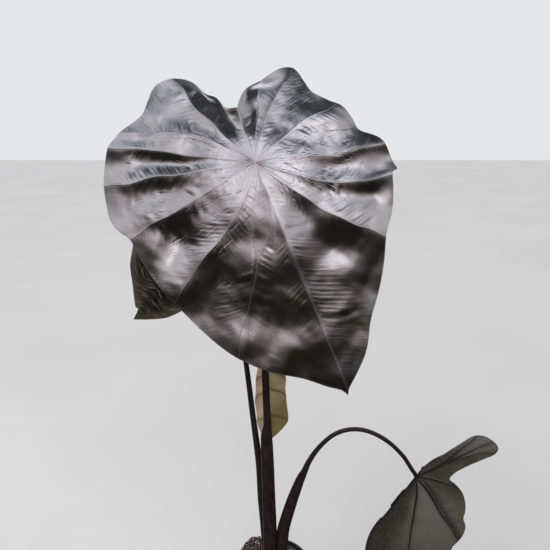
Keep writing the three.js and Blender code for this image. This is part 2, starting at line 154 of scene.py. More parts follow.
REAR_LEAF = {
    "joint": (-72, 45, 608),
    "turn": -14,
    "rise": 10,
    "roll": -22,
    "folds": (6, 6),
    "bends": (-0.0015, -0.002),
    "droop": 0.0006,
    "pleat": 0.085,
    "wave": 1.4,
    "lumps": 1.3,
    "puckers": 0.5,
    "wander": 1.0,
    "midrib": 252,
    "seed": 23,
    "reach": [
        (98, 41), (116, 34), (130, 44), (136, 62), (146, 80), (158, 93), (176, 100), (193, 111),
        (210, 119), (223, 127), (231, 139), (239, 154), (245, 167), (249.4, 174.5), (250.6, 172.5),
        (251.4, 178), (252, 192), (254, 187), (263, 165), (271, 138), (282, 110), (304, 89), (328, 77),
        (366, 76), (392, 76), (412, 72), (434, 62),
    ],
    "ribs": [
        (116, 116, 0), (150, 146, 0), (180, 170, 0), (206, 196, 0), (231, 252, 40), (252, 252, 0),
        (272, 252, 45), (300, 284, 0), (335, 320, 0), (372, 366, 0), (408, 410, 0),
    ],
}

RIGHT_LEAF = {
    "joint": (193, -10, 265),
    "axes": ((0, 1, 0), (0.53, 0, 0.848), (0.848, 0, -0.53)),
    "folds": (62, 102),
    "bends": (0.0108, 0),
    "stiff": 88,
    "droop": 0,
    "pleat": -0.035,
    "wave": 0.8,
    "lumps": 0.7,
    "puckers": 0.1,
    "wander": 1.0,
    "midrib": 270,
    "seed": 31,
    "reach": [
        (90, 18), (99, 28), (101, 44), (102, 62), (103, 77), (104, 97), (109, 109), (117, 115),
        (121, 107), (123, 87), (126, 67), (131, 52), (140, 44), (147, 51), (156, 60), (167, 68),
        (176, 73), (182, 76), (186, 84), (194, 91), (206, 98), (214, 112), (223, 130), (235, 152),
        (245, 170), (254, 184), (263, 194), (270, 201), (278, 188), (288, 162), (300, 134), (312, 109),
        (326, 88), (342, 71), (360, 58), (378, 46), (394, 39), (408, 41), (420, 47), (430, 53),
        (437, 51), (443, 36),
    ],
    "ribs": [
        (90, 90, 0), (103, 113, 45), (113, 113, 0), (122, 113, 62), (152, 138, 0), (200, 180, 0),
        (242, 218, 0), (270, 270, 0), (304, 326, 0), (344, 368, 0), (394, 408, 0), (430, 434, 0),
    ],
}

FOLDED_LEAF = {
    "joint": (-6, 50, 452),
    "axes": ((-1, 0, 0), (0, 0, 1), (0, 1, 0)),
    "folds": (40, 58),
    "bends": (0.0006, -0.004),
    "droop": 0.003,
    "pleat": -0.06,
    "wave": 0.8,
    "swing": 12,
    "ease": 3,
    "lumps": 0.3,
    "puckers": 0.06,
    "wander": 0.8,
    "midrib": 270,
    "seed": 47,
    "reach": [
        (90, 20), (102, 42), (116, 52), (134, 50), (160, 42), (186, 38), (208, 42), (226, 52), (238, 66),
        (247, 86), (252, 108), (254, 128), (254.5, 147), (256, 161), (259, 170), (263, 177), (268, 179),
        (270, 182), (274, 183), (278, 180), (281, 164), (284, 142), (287, 118), (290, 93), (295, 74),
        (304, 58), (318, 46), (340, 40), (366, 40), (390, 46), (412, 54), (430, 54), (442, 40),
    ],
    "ribs": [
        (90, 90, 0), (128, 122, 0), (186, 170, 0), (228, 206, 0), (247, 270, 62), (251, 270, 92),
        (255, 270, 136), (270, 270, 0), (283, 270, 142), (286, 270, 98), (292, 270, 70), (310, 332, 0),
        (356, 372, 0), (412, 418, 0),
    ],
}

# Stalks: x, y, z, radius and lip of the sheath at points up their centre lines
FRONT_STALK = {
    "lip_side": 200,
    "top": 3.6,
    "points": [
        (-2, 0, 104.4, 8.2, 3.5), (-1.5, 0, 135, 8, 3.6), (-1.2, 0, 160, 7.8, 3.8), (-1.4, 0, 186, 7.3, 4.2),
        (-2, 0, 219, 6.6, 5), (-3.2, 1, 274, 5.9, 5.6), (-4.3, 3, 304, 5.5, 5.4), (-5.2, 4, 322, 5.2, 4.6),
        (-5.8, 5, 334, 5, 1), (-6.6, 6, 348, 4.9, 0), (-9, 9, 410, 4.7, 0), (-13, 11, 500, 4.4, 0),
        (-17, 8, 590, 4.1, 0), (-18.6, 0, 640, 3.9, 0),
    ],
}
REAR_STALK = {
    "lip_side": 30,
    "top": 2.6,
    "points": [
        (-8, 12, 104.4, 5, 0), (-11, 10, 152, 5, 0.6), (-13, 9, 183, 4.9, 0.8), (-15.4, 9, 215, 4.8, 1.2),
        (-18, 10, 270, 4.5, 1.2), (-21, 11, 300, 4.2, 0.4), (-26, 15, 343, 3.9, 0), (-33, 22, 404, 3.5, 0),
        (-44, 36, 480, 3.2, 0), (-56, 48, 540, 3, 0), (-66, 54, 582, 2.8, 0),
    ],
}
RIGHT_STALK = {
    "lip_side": 180,
    "top": 2.8,
    "points": [
        (12, 3, 104.4, 8.2, 0.6), (14.4, 2, 145, 8.2, 1), (16.8, 1, 169, 7.6, 1.6), (21.2, 0, 189, 7, 2.2),
        (29.4, 0, 219, 6.2, 2.6), (37.6, 0, 246, 5.2, 2.2), (42, 0, 259, 4.6, 1.6), (44, 0, 265, 4.4, 0.2),
        (50, 0, 281, 3.7, 0), (61, 0, 300, 3.2, 0), (72, -1, 314, 3, 0), (81, -1, 322, 3, 0),
        (93, -2, 329, 2.9, 0), (108, -3, 332.5, 2.9, 0), (124, -4, 331, 2.9, 0), (141, -6, 324.5, 2.9, 0),
        (158, -8, 313, 2.8, 0), (175, -9, 295, 2.8, 0), (186, -10, 278, 2.8, 0),
    ],
}
FOLDED_STALK = {
    "lip_side": 90,
    "top": 2.4,
    "points": [
        (3, 18, 104.4, 5.4, 0), (2, 18, 140, 5.2, 1.4), (0, 19, 190, 4.8, 1.6), (-2, 21, 250, 4.3, 1),
        (-4, 24, 310, 3.8, 0), (-7, 28, 370, 3.4, 0), (-9, 32, 415, 3.2, 0), (-9, 36, 434, 3, 0),
        (-8, 42, 446, 2.8, 0),
    ],
}


# Shader building


class Nodes:
    """A node tree that is made by short calls; a value is a socket, a number or a colour."""

    def __init__(self, tree):
        self.tree = tree

    def put(self, socket, value):
        if isinstance(value, bpy.types.NodeSocket):
            self.tree.links.new(value, socket)
        elif isinstance(value, tuple) and len(value) == 3 and socket.type == "RGBA":
            socket.default_value = (*value, 1)
        else:
            socket.default_value = value

    def node(self, kind, *values, out=0, **settings):
        made = self.tree.nodes.new(kind)
        for key, value in settings.items():
            setattr(made, key, value)
        for socket, value in zip(made.inputs, values):
            if value is not None:
                self.put(socket, value)
        return made.outputs[out]

    def math(self, operation, a, b=None, c=None):
        return self.node("ShaderNodeMath", a, b, c, operation=operation)

    def times(self, product, *factors):
        for factor in factors:
            product = self.math("MULTIPLY", product, factor)
        return product

    def plus(self, total, *terms):
        for term in terms:
            total = self.math("ADD", total, term)
        return total

    def minus(self, a, b):
        return self.math("SUBTRACT", a, b)

    def point(self, x, y, z=0.0):
        return self.node("ShaderNodeCombineXYZ", x, y, z)

    def split(self, point):
        """The x, y and z of a point."""
        return self.node("ShaderNodeSeparateXYZ", point).node.outputs[:]

    def mix(self, share, a, b, blend="MIX"):
        made = self.tree.nodes.new("ShaderNodeMix")
        made.data_type = "RGBA"
        made.blend_type = blend
        for index, value in ((0, share), (6, a), (7, b)):
            self.put(made.inputs[index], value)
        return made.outputs[2]

    def step(self, value, low, high, start=0.0, end=1.0):
        """Smooth change from start to end as value goes from low to high."""
        return self.node("ShaderNodeMapRange", value, low, high, start, end, interpolation_type="SMOOTHSTEP")

    def noise(self, scale, detail=3.0, where=None, rough=0.55):
        return self.node("ShaderNodeTexNoise", where or self.place(), None, scale, detail, rough)

    def place(self):
        """Where a point of the piece is, in the frame of the part."""
        return self.node("ShaderNodeTexCoord", out=3)


class Look(Nodes):
    """The nodes of a new material."""

    def __init__(self, name):
        self.material = bpy.data.materials.new(name)
        self.material.use_nodes = True
        super().__init__(self.material.node_tree)
        self.shader = self.tree.nodes["Principled BSDF"]

    def map(self, name):
        """The two values of a map of the mesh."""
        return self.split(self.node("ShaderNodeUVMap", uv_map=name))[:2]

    def bump(self, height, strength, distance):
        made = self.tree.nodes.new("ShaderNodeBump")
        made.inputs["Strength"].default_value = strength
        made.inputs["Distance"].default_value = distance * MM
        self.put(made.inputs["Height"], height)
        return made.outputs[0]

    def set_gloss(self, ior, level, tint=(1.0, 1.0, 1.0)):
        self.shader.inputs["IOR"].default_value = ior
        self.shader.inputs["Specular IOR Level"].default_value = level
        self.shader.inputs["Specular Tint"].default_value = (*tint, 1)

    def finish(self, **sockets):
        for key, value in sockets.items():
            self.put(self.shader.inputs[key.replace("_", " ")], value)
        return self.material


def along_vein(look, from_rib, distance):
    """How far out the side vein through a point leaves its rib."""
    return look.minus(distance, look.times(from_rib, VEIN_SLANT))


def vein_maps(look):
    """A point's place in the order of ribs, how far off the nearest one is, as a share of the gap and in mm,
    mm from the joint, share of the way to the margin, and the comb of side veins."""
    order, width = look.map("ribs")
    distance, share = look.map("ways")
    off = look.math("ABSOLUTE", look.minus(order, look.math("ROUND", order)))
    from_rib = look.times(off, width, MAP_SCALE)
    distance = look.times(distance, MAP_SCALE)
    wander = look.times(look.minus(look.noise(28.0, 2.0), 0.5), 3.2)
    along = look.plus(along_vein(look, from_rib, distance), wander)
    comb = look.math("SINE", look.times(along, 2 * np.pi / COMB_PITCH))
    return order, off, from_rib, distance, share, comb


def near_rib(look, order, count):
    """1 where the nearest rib is the one with this count, else 0."""
    return look.step(look.math("ABSOLUTE", look.minus(look.math("ROUND", order), count)), 0.4, 0.6, 1.0, 0.0)


def streaks(look, order, from_rib, distance):
    """Fine hair-like streaks beside the side veins, and along the ribs near the joint."""
    where = look.point(along_vein(look, from_rib, distance), look.times(from_rib, 0.07))
    side = look.times(look.noise(0.5, 3.0, where), look.step(distance, 30.0, 80.0))
    where = look.point(look.times(order, 5.0), look.times(distance, 0.01))
    rays = look.times(look.noise(1.0, 3.0, where), look.step(distance, 60.0, 10.0), 3.5)
    return look.plus(side, rays)


def dents(look, order, distance):
    """Narrow dents and creases that point away from the joint."""
    after = look.math("FLOOR", order)
    _, width = look.map("ribs")
    across = look.times(look.minus(order, after), width, 27.0)
    where = look.point(across, look.times(distance, 0.06), look.times(after, 5.0))
    creases = look.step(look.noise(1.0, 2.0, where), 0.52, 0.84, 0.0, -0.42)
    places = look.step(look.noise(13.0, 2.0), 0.42, 0.62)
    return look.times(creases, places, look.step(distance, 12.0, 30.0), look.step(distance, 190.0, 110.0))


def upper_look(name, dark, green, vein, rough, gloss, comb_depth, bold=-1, lines=0.0):
    """The upper face of a leaf; bold is the count of its widest rib, and lines is how strong its painted
    reflections of arcs are; with any lines the margin also gets a painted backlit glow.
    """
    look = Look(name)
    order, off, from_rib, distance, share, comb = vein_maps(look)
    widen = look.math("MULTIPLY_ADD", near_rib(look, order, bold), 1.5, 1.0)
    half = look.times(look.step(share, 0.0, 1.0, 2.2, 0.6), widen)
    ridge = look.step(look.math("DIVIDE", from_rib, half), 0.0, 1.5, 1.0, 0.0)
    flesh = look.mix(look.step(look.noise(11.0, 4.0), 0.38, 0.66), dark, green)
    fine = look.step(look.noise(90.0, 4.0), 0.35, 0.7)
    flesh = look.mix(look.times(fine, 0.35), flesh, tuple(1.8 * v for v in green))
    if lines:
        along = along_vein(look, from_rib, distance)
        where = look.point(along, look.times(from_rib, 0.2), look.math("ROUND", order))
        # Painted reflection: pale arcs along the side veins, painted in as mirrored light
        reflected_arcs = look.step(look.noise(0.25, 3.0, where), 0.5, 0.64)
        flesh = look.mix(look.times(reflected_arcs, lines), flesh, ARC_REFLECTION_TONE)
        # Painted backlit glow: the margin made paler as if light shone through it
        flesh = look.mix(look.times(look.step(share, 0.86, 1.0), 0.5), flesh, RIM_BACKLIGHT_TONE)
    colour = look.mix(look.times(ridge, ridge, 0.85), flesh, vein)
    navel = look.step(distance, 2.0, 9.0, 1.0, 0.0)
    colour = look.mix(look.times(navel, 0.7), colour, NAVEL_TONE)
    edge = look.step(share, 0.985, 1.0)
    colour = look.mix(look.times(edge, 0.5), colour, EDGE_TONE)
    places = look.times(look.step(look.noise(22.0, 3.0), 0.35, 0.65), look.step(share, 0.99, 0.7))
    fade = look.times(look.step(from_rib, 0.5, 5.0), look.step(off, 0.5, 0.3), places)
    height = look.plus(
        look.times(comb, fade, comb_depth),
        look.times(ridge, 0.12),
        look.times(look.noise(60.0, 3.0), 0.2),
        look.times(streaks(look, order, from_rib, distance), 0.13),
        dents(look, order, distance),
    )
    dull = look.times(ridge, look.step(distance, 50.0, 90.0), 0.12)
    uneven = look.step(look.noise(35.0, 4.0), 0.3, 0.7, rough - 0.05, rough + 0.08)
    uneven = look.plus(uneven, dull)
    look.set_gloss(*gloss)
    return look.finish(Base_Color=colour, Roughness=uneven, Normal=look.bump(height, 1.0, 1.0))


def under_look(name, flesh, pale, vein, rough, bold=-1, glow=0.0, lines=0.25, cream=None):
    """The underside of a leaf; bold is the count of its heaviest rib, which gets painted shade along one
    side, a painted sheen on the sector after it and far out on the first sectors, and painted shade on the
    sectors past that; lines is how dark the side veins are, and cream a tone near the joint."""
    look = Look(name)
    order, off, from_rib, distance, share, comb = vein_maps(look)
    heavy = near_rib(look, order, bold)
    half = look.times(look.step(share, 0.0, 1.0, 1.2, 0.35), look.plus(heavy, 1.0))
    rib = look.step(look.math("DIVIDE", from_rib, half), 0.4, 1.3, 1.0, 0.0)
    colour = look.mix(look.step(look.noise(17.0, 4.0), 0.36, 0.64), flesh, pale)
    if cream:
        colour = look.mix(look.step(distance, 150.0, 95.0), colour, cream)
    tinge = look.times(look.step(look.noise(31.0, 4.0), 0.45, 0.68), 0.4)
    colour = look.mix(tinge, colour, (1.15 * pale[0], 0.98 * pale[1], 0.9 * pale[2]))
    stripe_share = lines
    if bold >= 0:
        past = look.step(order, bold - 0.1, bold + 0.2)
        before = look.step(order, bold + 1.4, bold + 0.98)
        # Painted sheen: a pale grey tone on the sector after the heaviest rib and far out on the first
        # sectors
        painted_sheen = look.times(past, before, look.step(distance, 115.0, 60.0))
        tip = look.times(look.step(order, 3.2, 2.6), look.step(distance, 45.0, 80.0))
        cloudy = look.step(look.noise(22.0, 4.0), 0.25, 0.6, 0.5, 1.0)
        colour = look.mix(look.times(look.math("MAXIMUM", painted_sheen, tip), cloudy, 0.9), colour, PAINTED_SHEEN_TONE)
        # Painted shade: the sectors past the heaviest rib, towards the fold, darkened, and their side veins
        # darker too
        far = look.step(order, bold + 1.05, bold + 1.6)
        colour = look.mix(look.times(far, 0.75), colour, PAINTED_SHADE_TONE)
        stripe_share = look.math("MULTIPLY_ADD", far, 0.4, lines)
    stripes = look.times(look.step(comb, 0.3, 0.95), look.step(off, 0.5, 0.35), stripe_share)
    colour = look.mix(stripes, colour, tuple(0.4 * v for v in flesh))
    net = look.node("ShaderNodeTexVoronoi", look.place(), None, 160.0, feature="DISTANCE_TO_EDGE")
    net = look.step(net, 0.02, 0.12, 1.0, 0.0)
    colour = look.mix(look.times(net, 0.2), colour, tuple(1.4 * v for v in pale))
    near = look.math("ROUND", order)
    one_side = look.step(order, near, look.minus(near, 0.03))
    shade = look.times(look.step(from_rib, 2.0, 11.0, 0.85, 0.0), heavy, one_side)
    shade = look.math("MAXIMUM", shade, look.step(from_rib, 0.0, 7.0, 0.35, 0.0))
    colour = look.mix(shade, colour, tuple(0.35 * v for v in flesh))
    colour = look.mix(look.times(rib, 0.95), colour, vein)
    edge = look.step(share, 0.98, 1.0)
    colour = look.mix(look.times(edge, 0.5), colour, vein)
    height = look.plus(
        look.times(comb, 0.05),
        look.times(rib, 0.8),
        look.times(look.noise(70.0, 3.0), 0.5),
        look.times(streaks(look, order, from_rib, distance), 0.13),
    )
    uneven = look.step(look.noise(40.0, 4.0), 0.3, 0.7, rough - 0.06, rough + 0.08)
    if glow:
        look.shader.inputs["Subsurface Weight"].default_value = glow
        look.shader.inputs["Subsurface Scale"].default_value = 0.004
    return look.finish(Base_Color=colour, Roughness=uneven, Normal=look.bump(height, 0.9, 1.0))


def stalk_look():
    look = Look("stalk")
    around, up = look.map("turns")
    grain = look.noise(5.0, 5.0, look.point(look.times(around, 9.0), look.times(up, 1.2)))
    dark = look.mix(look.step(grain, 0.35, 0.7), (0.014, 0.009, 0.0085), (0.034, 0.022, 0.020))
    mottled = look.step(look.noise(120.0, 4.0), 0.5, 0.75)
    colour = look.mix(look.times(mottled, 0.25), dark, (0.055, 0.037, 0.034))
    from_lip_line = look.math("ABSOLUTE", look.minus(around, 0.5))
    # Painted highlight: a pale line along the sheath's lip, which is also bumped up as a ridge
    lip_ridge_and_highlight = look.times(look.step(from_lip_line, 0.004, 0.016, 1.0, 0.0), look.step(up, 2.25, 2.4, 1.0, 0.0))
    colour = look.mix(look.times(lip_ridge_and_highlight, 0.8), colour, (0.16, 0.12, 0.12))
    height = look.plus(look.times(grain, 0.5), look.times(lip_ridge_and_highlight, 0.4))
    rough = look.step(grain, 0.3, 0.7, 0.24, 0.38)
    look.set_gloss(1.45, 0.35)
    return look.finish(Base_Color=colour, Roughness=rough, Normal=look.bump(height, 0.5, 0.8))


def grain_look(name, low, high, scale, rough):
    look = Look(name)
    colour = look.mix(look.step(look.noise(scale, 6.0, rough=0.7), 0.32, 0.68), low, high)
    specks = look.step(look.noise(scale * 4.0, 2.0), 0.62, 0.72)
    colour = look.mix(look.times(specks, 0.6), colour, tuple(min(1.0, 2.2 * v) for v in high))
    normal = look.bump(look.noise(scale * 1.5, 6.0, rough=0.7), 0.9, 1.2)
    return look.finish(Base_Color=colour, Roughness=rough, Normal=normal)


def pot_look():
    look = Look("pot")
    x, y, z = look.split(look.place())
    dust = look.step(look.noise(22.0, 6.0, rough=0.7), 0.5, 0.78)
    dusty = look.times(dust, look.step(z, 0.0, 0.10, 1.0, 0.35), 0.55)
    colour = look.mix(dusty, (0.014, 0.014, 0.015), (0.10, 0.09, 0.08))
    scuffs = look.step(look.noise(60.0, 5.0, look.point(x, y, look.times(z, 6.0))), 0.58, 0.72)
    colour = look.mix(look.times(scuffs, 0.3), colour, (0.07, 0.07, 0.072))
    height = look.plus(look.noise(700.0, 2.0), look.times(scuffs, 0.5))
    rough = look.step(look.noise(45.0, 4.0), 0.3, 0.7, 0.46, 0.62)
    return look.finish(Base_Color=colour, Roughness=rough, Normal=look.bump(height, 0.25, 0.3))


# Mesh building

CUBE = np.array([(x, y, z) for x in (-1, 1) for y in (-1, 1) for z in (-1, 1)], float)
CUBE_FACES = np.array([(0, 1, 3, 2), (4, 6, 7, 5), (0, 4, 5, 1), (2, 3, 7, 6), (0, 2, 6, 4), (1, 5, 7, 3)])


def add_object(name, data, place=(0, 0, 0), turned=(0, 0, 0)):
    made = bpy.data.objects.new(name, data)
    made.location = place
    made.rotation_euler = turned
    bpy.context.scene.collection.objects.link(made)
    return made


def make_piece(name, points, faces, looks, face_looks=None, maps=None, replaced=None,
               smooth=True):
    """A mesh piece from points in mm; maps hold two values for each corner of each face."""
    mesh = bpy.data.meshes.new(name)
    mesh.from_pydata((np.asarray(points, float) * MM).tolist(), [], faces)
    for look in looks:
        mesh.materials.append(look)
    if face_looks is not None:
        mesh.polygons.foreach_set("material_index", np.asarray(face_looks, np.int32))
    for key, values in (maps or {}).items():
        layer = mesh.uv_layers.new(name=key)
        layer.data.foreach_set("uv", np.asarray(values, np.float32).ravel())
    mesh.polygons.foreach_set("use_smooth", np.full(len(faces), smooth))
    mesh.update()
    piece = add_object(name, mesh)
    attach(piece, "root")
    if replaced:
        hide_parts(replaced)
    return piece


def catmull(rows, t, closed=False):
    """Catmull-Rom values of rows at places t; closed rows go on past their end by 360 degrees."""
    rows = np.asarray(rows, float)
    n = len(rows)
    i = np.minimum(np.floor(t).astype(int), n - 1 if closed else n - 2)
    f = (t - i)[:, None]

    def at(k):
        if not closed:
            return rows[np.clip(k, 0, n - 1)]
        turns = k // n
        found = rows[k - turns * n].copy()
        found[:, 0] += 360 * turns
        return found

    a, b, c, d = (at(i + k) for k in (-1, 0, 1, 2))
    return b + 0.5 * f * (c - a + f * (2 * a - 5 * b + 4 * c - d + f * (3 * (b - c) + d - a)))


def rib_angles(leaf, ribs, distance):
    """Angles of the ribs at a distance from the joint: each swings from its start to its end."""
    end, start, begin = ribs.T
    ease = leaf.get("ease", RIB_EASE)
    past = distance[..., None] - begin
    eased = np.where(begin > 0, ease * np.logaddexp(0, past / ease), past)
    return end + (start - end) * np.exp(-eased / leaf.get("swing", RIB_SWING))


def sector(places, angle):
    """Which rib an angle comes after, how far it is on the way to the next, and the angle between them."""
    turned = angle - 360 * np.floor((angle - places[..., 0]) / 360)
    after = np.clip((places <= turned[..., None]).sum(-1) - 1, 0, None)
    ring = np.concatenate([places, places[..., :1] + 360], -1)
    low = np.take_along_axis(ring, after[..., None], -1)[..., 0]
    span = np.maximum(np.take_along_axis(ring, after[..., None] + 1, -1)[..., 0] - low, 1e-6)
    return after, (turned - low) / span, span


def leaf_axes(leaf):
    if "axes" in leaf:
        return [np.array(v, float) / np.linalg.norm(v) for v in leaf["axes"]]
    turn, rise, roll = np.radians([leaf["turn"], leaf["rise"], leaf.get("roll", 0)])
    out = np.array([np.sin(turn) * np.cos(rise), -np.cos(turn) * np.cos(rise), np.sin(rise)])
    level = np.array([np.cos(turn), np.sin(turn), 0])
    across = level * np.cos(roll) + np.cross(out, level) * np.sin(roll)
    return [across, np.cross(out, across), out]


def placed(leaf, x, y, rise):
    """Flat points of the leaf's pattern, folded along the midrib, drooped and bent, in the part's frame."""
    axes = leaf_axes(leaf)
    fold = np.radians(np.where(x < 0, *leaf["folds"]))
    reach = np.abs(x)
    across = np.sign(x) * (reach * np.cos(fold) - rise * np.sin(fold))
    up = reach * np.sin(fold) + rise * np.cos(fold) - leaf["droop"] * reach**2
    bend = np.where(y < 0, *leaf["bends"])
    straight = np.where(y < 0, np.maximum(y, -leaf.get("stiff", 0)), 0)
    turn = bend * (y - straight)
    curved = bend != 0
    safe = np.where(curved, bend, 1)
    length = np.where(curved, straight + np.sin(turn) / safe - up * np.sin(turn), y)
    up = np.where(curved, (1 - np.cos(turn)) / safe + up * np.cos(turn), up)
    parts = (across[..., None] * axes[0], length[..., None] * axes[1], up[..., None] * axes[2])
    return np.array(leaf["joint"]) + sum(parts)


def leaf_grid(leaf, spokes, rings):
    """Angles and distances of a grid whose spokes run along the main ribs, from the joint to the margin."""
    ribs = np.array(leaf["ribs"], float)
    starts = ribs[:, 1].tolist()
    main = ribs[[end == start or starts.count(start) == 1 for end, start, _ in leaf["ribs"]]]
    margin = catmull(leaf["reach"], np.linspace(0, len(leaf["reach"]), 6000), True)
    angles = np.maximum.accumulate(margin[:, 0])

    def reach_at(angle):
        return np.interp((angle - angles[0]) % 360 + angles[0], angles, margin[:, 1])

    ends = np.append(main[:, 0], main[0, 0] + 360)
    walk = np.linspace(ends[:-1], ends[1:], 60)
    reach = reach_at(walk)
    paths = np.hypot(np.diff(reach, axis=0), np.radians(np.diff(walk, axis=0)) * reach[1:]).sum(0)
    counts = np.maximum(3, np.round(spokes * paths / paths.sum())).astype(int)
    order = np.concatenate([i + np.arange(n) / n for i, n in enumerate(counts)])

    def angle_at(distance):
        ring = rib_angles(leaf, main, distance)
        ring = np.concatenate([ring, ring[..., :1] + 360], -1)
        i = np.broadcast_to(np.floor(order).astype(int)[:, None], distance.shape)[..., None]
        low = np.take_along_axis(ring, i, -1)[..., 0]
        high = np.take_along_axis(ring, i + 1, -1)[..., 0]
        return low + (order % 1)[:, None] * (high - low)

    reach = np.full((len(order), 1), 120.0)
    for _ in range(8):
        reach = reach_at(angle_at(reach))
    share = np.arange(1, rings + 1) / rings
    distance = reach * share
    return angle_at(distance), distance, np.broadcast_to(share, distance.shape)


def ripple(x, y, longest, shortest, seed, count=14):
    """Smooth seeded noise of unit root mean square, from waves of many lengths and directions."""
    rng = np.random.default_rng(seed)
    total = np.zeros_like(x)
    for length in np.geomspace(longest, shortest, count):
        turn, phase = rng.uniform(0, 2 * np.pi, 2)
        total += np.sin(2 * np.pi * (x * np.cos(turn) + y * np.sin(turn)) / length + phase)
    return total / np.sqrt(count / 2)


def smooth(value, low, high):
    t = np.clip((value - low) / (high - low), 0, 1)
    return t * t * (3 - 2 * t)


def relief(leaf, x, y, order, width, distance, share):
    """Lumps, swells, puckers and teeth of the blade. Puckers and teeth follow the side veins of each rib."""
    seed = leaf["seed"]
    lumps = leaf["lumps"] * ripple(x, y, 120, 42, seed)
    small = 0.1 * leaf["lumps"] * ripple(x, y, 26, 13, seed + 1)
    near = np.round(order)
    off = np.abs(order - near)
    from_rib = off * width
    side = (2 * (near % len(leaf["ribs"])) + (order > near)).astype(int)
    rng = np.random.default_rng(seed + 2)
    along = distance - VEIN_SLANT * from_rib + 0.006 * from_rib**2

    def waves(length):
        phases = rng.uniform(0, 2 * np.pi, 2 * len(leaf["ribs"]))
        return np.sin(2 * np.pi * along / length + phases[side])

    puckers = sum(waves(length) * length / 12 for length in (9, 11.5, 15, 21))
    reach = smooth(from_rib, 1, 9) * smooth(off, 0.5, 0.3)
    places = smooth(ripple(x, y, 110, 45, seed + 3), -0.3, 1.1)
    calm = smooth(distance, 6, 45) * smooth(share, 1.02, 0.8)
    for turn, far, long, wide, high in leaf.get("swells", ()):
        ahead_x, ahead_y = np.cos(np.radians(turn)), np.sin(np.radians(turn))
        radial = x * ahead_x + y * ahead_y - far
        sideways = y * ahead_x - x * ahead_y
        lumps = lumps + high * np.exp(-((radial / long) ** 2 + (sideways / wide) ** 2) / 2)
    teeth = waves(11) * smooth(from_rib, 2, 7) * smooth(from_rib, 26, 13) * smooth(distance, 60, 80)
    teeth *= smooth(ripple(x, y, 70, 30, seed + 6), 0, 1) * smooth(np.abs(x), 0.3 * distance, 0.7 * distance)
    fine = calm * (leaf["puckers"] * puckers * reach * places + leaf.get("teeth", 0) * teeth)
    return (lumps + small) * smooth(distance, 0, 60) * smooth(share, 1.3, 0.9) + fine


def surface(leaf, angle, distance, share):
    """The upper face of the blade, and the maps of its veins."""
    ribs = np.array(leaf["ribs"], float)
    x = distance * np.cos(np.radians(angle))
    y = distance * np.sin(np.radians(angle))
    wander = leaf["wander"] * ripple(x, y, 130, 38, leaf["seed"] + 4) * smooth(distance, 15, 90)
    wander *= smooth(share, 1.02, 0.8) * smooth(np.abs(angle - leaf["midrib"]), 2, 25)
    after, t, span = sector(rib_angles(leaf, ribs, distance), angle + wander)
    width = distance * np.radians(span)
    from_upper = np.where(x < 0, t, 1 - t)
    hollow = 0.3 * 4 * t * (1 - t) + 0.8 * np.sin(np.pi * from_upper ** leaf.get("lean", 1)) ** 2
    if "hollows" in leaf:
        near, middle, far = np.array(leaf["hollows"]).T[:, after]
        inner = near + (middle - near) * smooth(distance, 50, 95)
        hollow *= inner + (far - middle) * smooth(distance, 115, 165)
    sag = leaf["pleat"] * np.minimum(width, SAG_WIDTH) * hollow * smooth(distance, 0, 70)
    sag *= 1 + 0.2 * ripple(x, y, 110, 50, leaf["seed"] + 5) * smooth(share, 1, 0.85)
    wave = leaf["wave"] * share**6 * np.sin(np.radians(angle * 11)) * np.sin(np.radians(angle * 4 + 40))
    lumps = relief(leaf, x, y, after + t, width, distance, share)
    return placed(leaf, x, y, wave - sag + lumps), after + t, width


def ring_faces(count, rings, step):
    """Faces of a leaf's grid over every step-th ring: the fan at the joint, then quads."""
    i = np.arange(count)
    a = 1 + (i * rings)[:, None]
    b = 1 + ((i + 1) % count * rings)[:, None]
    kept = np.arange(step, rings + 1, step) - 1
    fan = np.hstack([np.zeros((count, 1), int), a + kept[0], b + kept[0]])
    low, high = kept[:-1], kept[1:]
    return fan, np.stack([a + low, a + high, b + high, b + low], -1).reshape(-1, 4)


def point_normals(points, groups):
    """Unit normals at the points of a mesh of groups of triangles."""
    normals = np.zeros_like(points)
    for group in groups:
        p, q, r = (points[group[:, k]] for k in range(3))
        flat = np.cross(q - p, r - p)
        for k in range(3):
            np.add.at(normals, group[:, k], flat)
    return normals / (np.linalg.norm(normals, axis=1, keepdims=True) + 1e-12)


